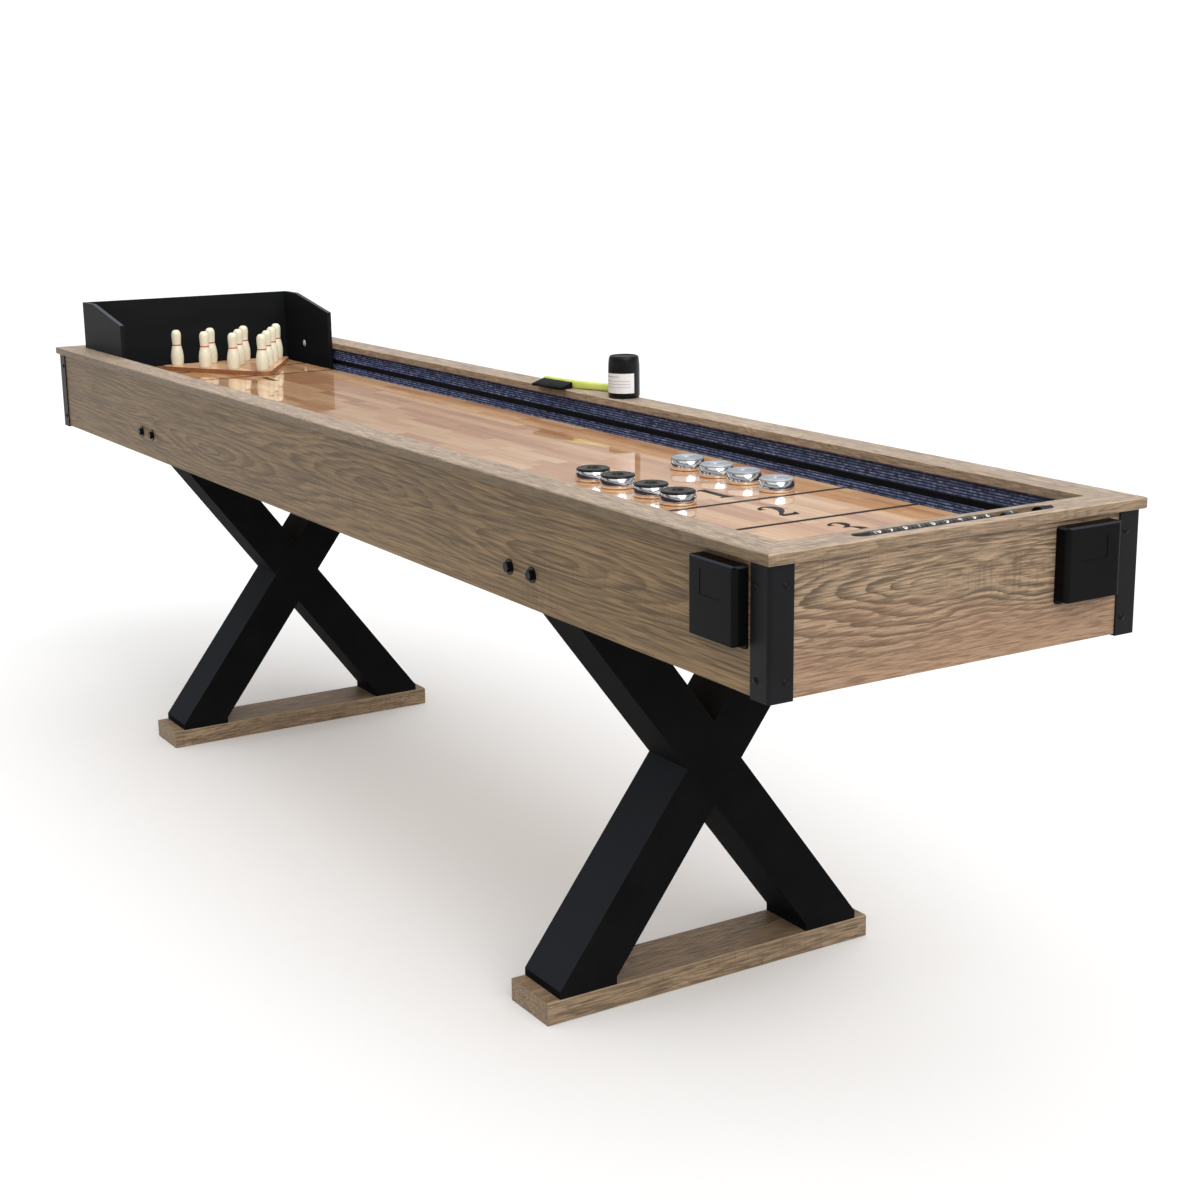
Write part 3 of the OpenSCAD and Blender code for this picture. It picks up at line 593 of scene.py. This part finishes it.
def book_numeral(digit):
    """A numeral with thick and thin strokes and serifs."""
    if digit == 1:
        return [(STRAIGHT, [(0.26, 0.02, 0.12), (0.26, 0.98, 0.12)]),
                (STRAIGHT, [(0.08, 0.02, 0.045), (0.44, 0.02, 0.045)]),
                (STRAIGHT, [(0.24, 0.97, 0.06), (0.08, 0.88, 0.03)])]
    if digit == 2:
        return [(ROUND, [(0.08, 0.72, 0.11), (0.10, 0.86, 0.06), (0.25, 0.96, 0.055), (0.40, 0.88, 0.10),
                         (0.44, 0.72, 0.13), (0.36, 0.48, 0.10), (0.20, 0.25, 0.06), (0.07, 0.10, 0.05)]),
                (STRAIGHT, [(0.05, 0.06, 0.11), (0.46, 0.06, 0.11)]),
                (STRAIGHT, [(0.45, 0.06, 0.07), (0.49, 0.22, 0.03)])]
    return [(ROUND, [(0.08, 0.78, 0.10), (0.12, 0.90, 0.05), (0.25, 0.97, 0.05), (0.38, 0.90, 0.10),
                     (0.40, 0.74, 0.11), (0.32, 0.59, 0.06), (0.18, 0.53, 0.035)]),
            (ROUND, [(0.18, 0.53, 0.035), (0.36, 0.48, 0.06), (0.45, 0.30, 0.13), (0.40, 0.12, 0.10),
                     (0.24, 0.03, 0.045), (0.12, 0.06, 0.06), (0.07, 0.16, 0.10)])]


def ribbons(strokes, put, height):
    """Flat ribbons along the strokes; put turns (across, up) in metres into a point."""
    vertices, faces = [], []
    for is_round, points in strokes:
        if is_round:
            line = smooth_line(points, 6)
        else:
            ends = list(zip(points[0], points[-1]))
            between = [tuple(a + (b - a) * t / 4 for a, b in ends) for t in (1, 2, 3)]
            line = smooth_line([points[0], *between, points[-1]], 1)
        first = len(vertices)
        for i, (x, y, width) in enumerate(line):
            before, after = line[max(i - 1, 0)], line[min(i + 1, len(line) - 1)]
            side = Vector((before[1] - after[1], after[0] - before[0])).normalized() * width / 2
            for sign in (-1, 1):
                vertices.append(put((x + sign * side.x) * height, (y + sign * side.y) * height))
        for i in range(len(line) - 1):
            k = first + 2 * i
            faces.append((k, k + 1, k + 3, k + 2))
    return vertices, faces


def number_strokes(number):
    """The strokes of a whole number, centred on the origin."""
    pitch, gap = 0.62, 0.12
    digits = [int(d) for d in str(number)]
    strokes = []
    for i, digit in enumerate(digits):
        shift = (i - len(digits) / 2) * pitch + gap / 2
        strokes += [(kind, [(x + shift, y - 0.5, w) for x, y, w in points])
                    for kind, points in plain_numeral(digit)]
    return strokes


# ---- pieces ----


def make_carpet():
    """Ribbed carpet down the gutter's wall and over its floor, as rings of ribs. It ends a little way
    under the playfield."""
    rise = 0.0010
    tuck = 0.013
    wall_x = CARPET_HIGH.x - CARPET_T
    wall_y = CARPET_HIGH.y - CARPET_T
    floor_z = CARPET_LOW.z + CARPET_T
    reach_x = wall_x - FIELD_HIGH.x + tuck
    reach_y = wall_y - FIELD_HIGH.y + tuck
    # one rib, as shares of the pitch along and of the rise out
    rib = ((0.0, 0.0), (0.18, 0.8), (0.5, 1.0), (0.82, 0.8))
    rings = []
    for i in range(RIBS_UP):
        for along, out in rib:
            rings.append((out * rise, out * rise, CARPET_HIGH.z - (i + along) * RIB_PITCH))
    floor_ribs = round(reach_y / RIB_PITCH)
    for i in range(floor_ribs + 1):
        for along, out in rib:
            share = min((i + along) / floor_ribs, 1.0)
            rings.append((share * reach_x, share * reach_y, floor_z + out * rise))
    vertices, faces = [], []
    for inset_x, inset_y, z in rings:
        x, y = wall_x - inset_x, wall_y - inset_y
        vertices += [(-x, -y, z), (x, -y, z), (x, y, z), (-x, y, z)]
    for i in range(len(rings) - 1):
        for k in range(4):
            n = (k + 1) % 4
            faces.append((4 * i + k, 4 * i + 4 + k, 4 * i + 4 + n, 4 * i + n))
    made = new_object("carpet_ribs", vertices, faces, "carpet")
    made.modifiers.new("edges", "EDGE_SPLIT").split_angle = math.radians(60)
    install(made, "table", "navy_carpet", "gutter_carpet")


def make_markings():
    """Foul lines across the playfield and the numerals between them, at both ends."""
    lift = 0.00015
    line_w = 0.0095
    lines_x = (0.906, 1.064)
    numerals_at = ((0.833, 0.0), (0.990, -0.006), (1.134, 0.003))
    numeral_h = 0.068
    heaviness = 1.5
    edge_gap = 0.0015
    steps = 12
    vertices, faces = [], []
    for end in (1, -1):
        for line_x in lines_x:
            first = len(vertices)
            for i in range(steps + 1):
                y = FIELD_LOW.y + edge_gap + (FIELD_HIGH.y - FIELD_LOW.y - 2 * edge_gap) * i / steps
                for side in (-line_w / 2, line_w / 2):
                    vertices.append((end * (line_x + side), end * y, FIELD_TOP + lift))
            faces += [tuple(first + 2 * i + k for k in (0, 1, 3, 2)) for i in range(steps)]
        for digit, (numeral_x, numeral_y) in zip((1, 2, 3), numerals_at):
            def put(across, up):
                return (end * (numeral_x - up + numeral_h / 2),
                        end * (numeral_y + across - numeral_h / 4), FIELD_TOP + lift)
            heavy = [(kind, [(x, y, w * heaviness) for x, y, w in points])
                     for kind, points in book_numeral(digit)]
            more, more_faces = ribbons(heavy, put, numeral_h)
            faces += [tuple(len(vertices) + k for k in face) for face in more_faces]
            vertices += more
    made = new_object("playfield_markings", vertices, faces, "print_black", smooth=False)
    upward(made)
    install(made, "table", "maple_gloss")


def make_bead(number):
    """A glossy bead with rounded shoulders and its number printed on top."""
    node = f"score_bead_{number}"
    low, high = (Vector(corner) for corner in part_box(node))
    centre = (low + high) / 2
    radius = (high.z - low.z) / 2
    bore = 0.0023
    half = (high.y - low.y) / 2
    round_r = 0.0022
    round_steps = 6
    profile = [(bore, -half), (radius - round_r, -half)]
    for i in range(1, round_steps):
        a = math.radians(90 * i / round_steps)
        profile.append((radius - round_r + round_r * math.sin(a),
                        -half + round_r - round_r * math.cos(a)))
    profile.append((radius, -half + round_r))
    profile += [(r, -y) for r, y in reversed(profile)]
    sides = 48
    turns = [2 * math.pi * i / sides for i in range(sides)]
    vertices = [(centre.x + r * math.sin(a), centre.y + y, centre.z + r * math.cos(a))
                for r, y in profile for a in turns]
    rows = len(profile)
    faces = []
    for row in range(rows):
        for i in range(sides):
            j, after = (i + 1) % sides, (row + 1) % rows
            faces.append((row * sides + i, row * sides + j, after * sides + j, after * sides + i))
    bead = new_object(f"bead_{number}", vertices, faces, "bead")
    bead.modifiers.new("edges", "EDGE_SPLIT").split_angle = math.radians(50)
    install(bead, node, "bead_plastic", node)

    print_lift = 0.00008
    print_r = radius + print_lift
    numeral_h = 0.0105

    def put(across, up):
        angle = -up / print_r
        return (centre.x + print_r * math.sin(angle), centre.y + across,
                centre.z + print_r * math.cos(angle))

    strokes = number_strokes(number)
    label = new_object(f"bead_number_{number}", *ribbons(strokes, put, numeral_h), "print_white")
    upward(label)
    install(label, node, "bead_plastic")


def make_pin(number):
    """A bowling pin, turned about its axis from a smooth outline in millimetres."""
    node = f"bowling_pin_{number}"
    low, high = (Vector(corner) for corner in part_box(node))
    outline = [(11.4, 0.0), (12.3, 0.8), (13.2, 6.0), (14.0, 15.0), (13.9, 24.0), (12.7, 33.0),
               (10.8, 41.0), (9.85, 46.0), (9.75, 50.0), (10.1, 56.0), (10.55, 62.5), (10.65, 68.0),
               (10.1, 72.8), (8.1, 76.8), (4.9, 79.3), (0.4, 80.0)]
    place = Vector(((low.x + high.x) / 2, (low.y + high.y) / 2, low.z))
    pin = turned(f"pin_{number}", smooth_line(outline, 4), place, "pin", 40)
    install(pin, node, "cream_plastic", node)


def make_puck(tone, number):
    """A polished weight with a moulded cap set into its top, from outlines in millimetres."""
    node = f"{tone}_puck_{number}"
    low, high = (Vector(corner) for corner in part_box(node))
    place = Vector(((low.x + high.x) / 2, (low.y + high.y) / 2, low.z))
    weight = smooth_line([(24.2, 0.0), (25.8, 0.8), (26.75, 2.6), (26.95, 4.6), (26.85, 7.2), (26.5, 9.8),
                          (25.95, 12.4), (25.3, 14.7), (24.9, 16.0)], 3)
    weight = [(2.0, 0.0)] + weight + [(24.5, 15.8), (2.0, 15.8)]
    base = turned(f"{tone}_weight_{number}", weight, place, "chrome", 64)
    install(base, node, "puck_chrome", node)
    cap = [(2.0, 15.9), (25.0, 15.9)]
    cap += smooth_line([(25.45, 16.8), (25.3, 18.2), (24.2, 19.4), (22.4, 20.0), (19.0, 20.0),
                        (17.6, 19.4), (13.6, 19.3), (12.4, 19.9), (10.6, 19.9), (9.2, 18.6),
                        (8.7, 17.4)], 3)
    cap += [(2.0, 17.1)]
    top = turned(f"{tone}_cap_{number}", cap, place, f"cap_{tone}", 64)
    install(top, node, "black_plastic")


def make_can():
    """Wax can with a rounded shoulder, and a label with plain rules wrapped part of the way round."""
    low, high = (Vector(corner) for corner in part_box("wax_can"))
    place = Vector(((low.x + high.x) / 2, (low.y + high.y) / 2, low.z))
    outline = smooth_line([(25.9, 0.0), (27.3, 0.8), (28.3, 3.6), (28.5, 8.0)], 3)
    outline += smooth_line([(28.5, 48.0), (28.3, 58.0), (27.7, 66.0), (26.8, 72.0), (25.2, 75.2),
                            (23.6, 76.0)], 3)
    outline += [(22.6, 75.6), (21.6, 74.4), (2.0, 74.4)]
    can = turned("wax_can_body", outline, place, "can", 64)
    install(can, "wax_can", "black_plastic", "wax_can")

    label_r = 0.02864
    print_lift = 0.00006
    bottom, top = 0.0100, 0.0455
    start, end = math.radians(-158), math.radians(7)
    steps = 28

    def patch(name, a0, a1, z0, z1, radius, material):
        vertices = []
        for i in range(steps + 1):
            a = a0 + (a1 - a0) * i / steps
            for z in (z0, z1):
                vertices.append((place.x + radius * math.cos(a), place.y + radius * math.sin(a),
                                 place.z + z))
        faces = [(2 * i, 2 * i + 2, 2 * i + 3, 2 * i + 1) for i in range(steps)]
        piece = new_object(name, vertices, faces, material)
        install(piece, "wax_can", "black_plastic")

    patch("can_label", start, end, bottom, top, label_r, "paper")
    # a short thick rule at the top, and thin ones below it
    left, right = start + math.radians(46), end - math.radians(10)
    margin, rule_step, head_gap = 0.0065, 0.0055, 0.002
    for row in range(4):
        z = top - margin - rule_step * row - (head_gap if row else 0.0)
        thick = 0.0006 if row else 0.0011
        last = left + (right - left) * (0.95 if row else 0.55)
        patch(f"can_label_rule_{row + 1}", left, last, z, z + thick, label_r + print_lift, "print_grey")


def make_brush():
    """Table brush: a lime head and bent grip in one moulding, with a block of black bristles."""
    head = Vector((-0.106, 0.263, RAIL_TOP))
    head_turn = Matrix.Rotation(math.radians(4.0), 3, "Z")
    grip_turn = Matrix.Rotation(math.radians(15.5), 3, "Z")
    bend = Vector((0.096, 0.0045, 0.0))

    def on_head(x, y, z):
        return head + head_turn @ Vector((x, y, z))

    def on_grip(x, y, z):
        return head + head_turn @ (bend + grip_turn @ Vector((x, y, z)))

    # sections: distance along the head or grip, half width, half height, middle across
    sections = []
    head_line = [(-0.0028, 0.0012, 0.0020, 0.0045), (0.002, 0.0040, 0.0066, 0.0045),
                 (0.030, 0.0044, 0.0074, 0.0045), (0.078, 0.0046, 0.0074, 0.0046)]
    grip_line = [(0.008, 0.0055, 0.0074, 0.0), (0.030, 0.0060, 0.0074, 0.0),
                 (0.060, 0.0058, 0.0071, 0.0), (0.090, 0.0060, 0.0073, 0.0),
                 (0.1000, 0.0046, 0.0058, 0.0), (0.1045, 0.0012, 0.0016, 0.0)]
    for put, line in ((on_head, head_line), (on_grip, grip_line)):
        sections += [(put, *section) for section in smooth_line(line, 4)]
    sides, middle_z = 20, 0.0075
    vertices, faces = [], []
    for put, x, half_y, half_z, y in sections:
        for i in range(sides):
            a = 2 * math.pi * i / sides
            c, s = math.cos(a), math.sin(a)
            square = (abs(c) ** 4 + abs(s) ** 4) ** -0.25
            vertices.append(put(x, y + half_y * c * square, middle_z + half_z * s * square))
    for row in range(len(sections) - 1):
        for i in range(sides):
            j = (i + 1) % sides
            faces.append((row * sides + i, (row + 1) * sides + i,
                          (row + 1) * sides + j, row * sides + j))
    faces.append(tuple(range(sides)))
    last = (len(sections) - 1) * sides
    faces.append(tuple(range(last + sides - 1, last - 1, -1)))
    handle = new_object("brush_handle", vertices, faces, "lime")
    install(handle, "brush", "lime_plastic", "brush")

    # bristles: thin three-sided spikes in rows up the head, each with a root and a slightly strayed tip
    draw = random.Random(7)
    vertices, faces = [], []
    rows, columns = 9, 120
    root_r, tip_r = 0.00075, 0.00045
    length = 0.094
    for row in range(rows):
        level = row / (rows - 1)
        for column in range(columns):
            share = min(max((column + draw.uniform(-0.4, 0.4)) / (columns - 1), 0.0), 1.0)
            root = Vector((0.001 + length * share, 0.0008, 0.0010 + 0.0098 * level))
            tip = Vector((0.014 + length * share + draw.uniform(-0.0010, 0.0010),
                          -0.0355 + draw.uniform(-0.0010, 0.0005),
                          0.0008 + 0.0034 * level + draw.uniform(0, 0.0006)))
            first = len(vertices)
            for point, radius in ((root, root_r), (tip, tip_r)):
                for i in range(3):
                    a = 2 * math.pi * i / 3
                    vertices.append(on_head(point.x + radius * math.cos(a), point.y,
                                            point.z + radius * math.sin(a)))
            for i in range(3):
                j = (i + 1) % 3
                faces.append((first + i, first + j, first + 3 + j, first + 3 + i))
            faces.append((first + 3, first + 4, first + 5))
    bristles = new_object("brush_bristles", vertices, faces, "bristle")
    install(bristles, "brush", "black_plastic")


# ---- studio and camera ----

# brightness of the sky by the height of the direction: bright at the horizon, a dim band that keeps glare
# off the playfield, a lit band, a dark line, then a broad soft top light
BACKDROP = 1.06
SKY = ((0.0, BACKDROP), (0.078, BACKDROP), (0.10, 0.22), (0.145, 0.26), (0.17, 0.50), (0.23, 0.50),
       (0.26, 0.06), (0.30, 0.06), (0.34, 0.80), (0.62, 0.95), (0.78, 1.20), (1.0, 1.45))

KEY_ENERGY = 1.7
KEY_SPREAD = math.radians(55)
KEY_DIRECTION = Vector((-0.77, 0.08, -0.63))


def make_studio():
    """Pale floor, white backdrop, banded sky, and one broad soft light from the scorer end."""
    size = 30.0
    floor_mesh = bpy.data.meshes.new("studio_floor")
    corners = [(-size, -size, 0), (size, -size, 0), (size, size, 0), (-size, size, 0)]
    floor_mesh.from_pydata(corners, [], [(0, 1, 2, 3)])
    floor = bpy.data.objects.new("studio_floor", floor_mesh)
    floor.location.z = -0.0005
    bpy.context.collection.objects.link(floor)
    paint = Paint("studio_floor", 0.9, Specular_IOR_Level=0.1)
    cloud = paint.noise(paint.scaled((0.5,) * 3), 1.0, 2.0)
    floor_mesh.materials.append(paint.finish(paint.mix(cloud, rgb(234, 234, 234), rgb(237, 237, 237))))

    world = bpy.data.worlds.new("studio")
    bpy.context.scene.world = world
    world.use_nodes = True
    tree = world.node_tree
    coordinates = tree.nodes.new("ShaderNodeTexCoord")
    split = tree.nodes.new("ShaderNodeSeparateXYZ")
    ramp = tree.nodes.new("ShaderNodeValToRGB")
    tree.links.new(coordinates.outputs["Generated"], split.inputs[0])
    tree.links.new(split.outputs[2], ramp.inputs[0])
    # the sky's bands are for the light and the reflections: the camera itself sees a plain white backdrop
    path = tree.nodes.new("ShaderNodeLightPath")
    backdrop = tree.nodes.new("ShaderNodeMix")
    backdrop.data_type = "RGBA"
    backdrop.inputs[7].default_value = (BACKDROP, BACKDROP, BACKDROP, 1.0)
    tree.links.new(path.outputs["Is Camera Ray"], backdrop.inputs[0])
    tree.links.new(ramp.outputs["Color"], backdrop.inputs[6])
    tree.links.new(backdrop.outputs[2], tree.nodes["Background"].inputs["Color"])
    elements = ramp.color_ramp.elements
    while len(elements) < len(SKY):
        elements.new(0.5)
    for element, (position, level) in zip(elements, SKY):
        element.position = position
        element.color = (level, level, level, 1.0)

    key = bpy.data.lights.new("key", "SUN")
    key.energy = KEY_ENERGY
    key.angle = KEY_SPREAD
    light = bpy.data.objects.new("key", key)
    light.rotation_euler = KEY_DIRECTION.to_track_quat("-Z", "Y").to_euler()
    bpy.context.collection.objects.link(light)


def make_camera():
    """The camera stands off the scorer end and the near side and looks slightly down the table."""
    place = Vector((3.0725, -1.579, 1.265))
    yaw, pitch, roll = math.radians(-58.358), math.radians(13.424), math.radians(-0.7236)
    forward = Vector((math.sin(yaw) * math.cos(pitch), math.cos(yaw) * math.cos(pitch), -math.sin(pitch)))
    level_right = Vector((math.cos(yaw), -math.sin(yaw), 0))
    level_up = level_right.cross(forward)
    right = math.cos(roll) * level_right + math.sin(roll) * level_up
    up = -math.sin(roll) * level_right + math.cos(roll) * level_up
    data = bpy.data.cameras.new("camera")
    data.lens = 57.616
    data.sensor_width = 36
    data.shift_x, data.shift_y = 0.00176, -0.00695
    data.clip_start, data.clip_end = 0.05, 100
    camera = bpy.data.objects.new("camera", data)
    turn = Matrix((right, up, -forward)).transposed()
    camera.matrix_world = Matrix.Translation(place) @ turn.to_4x4()
    bpy.context.collection.objects.link(camera)
    bpy.context.scene.camera = camera


make_camera()
make_studio()
for node_name, material_name in NODE_MATERIALS.items():
    paint_node(node_name, material_name)
make_carpet()
make_markings()
for bead_number in range(10, 0, -1):
    make_bead(bead_number)
for pin_number in range(1, 11):
    make_pin(pin_number)
for puck_tone in ("black", "silver"):
    for puck_number in range(1, 5):
        make_puck(puck_tone, puck_number)
make_can()
make_brush()
bpy.context.scene.view_settings.view_transform = "Standard"
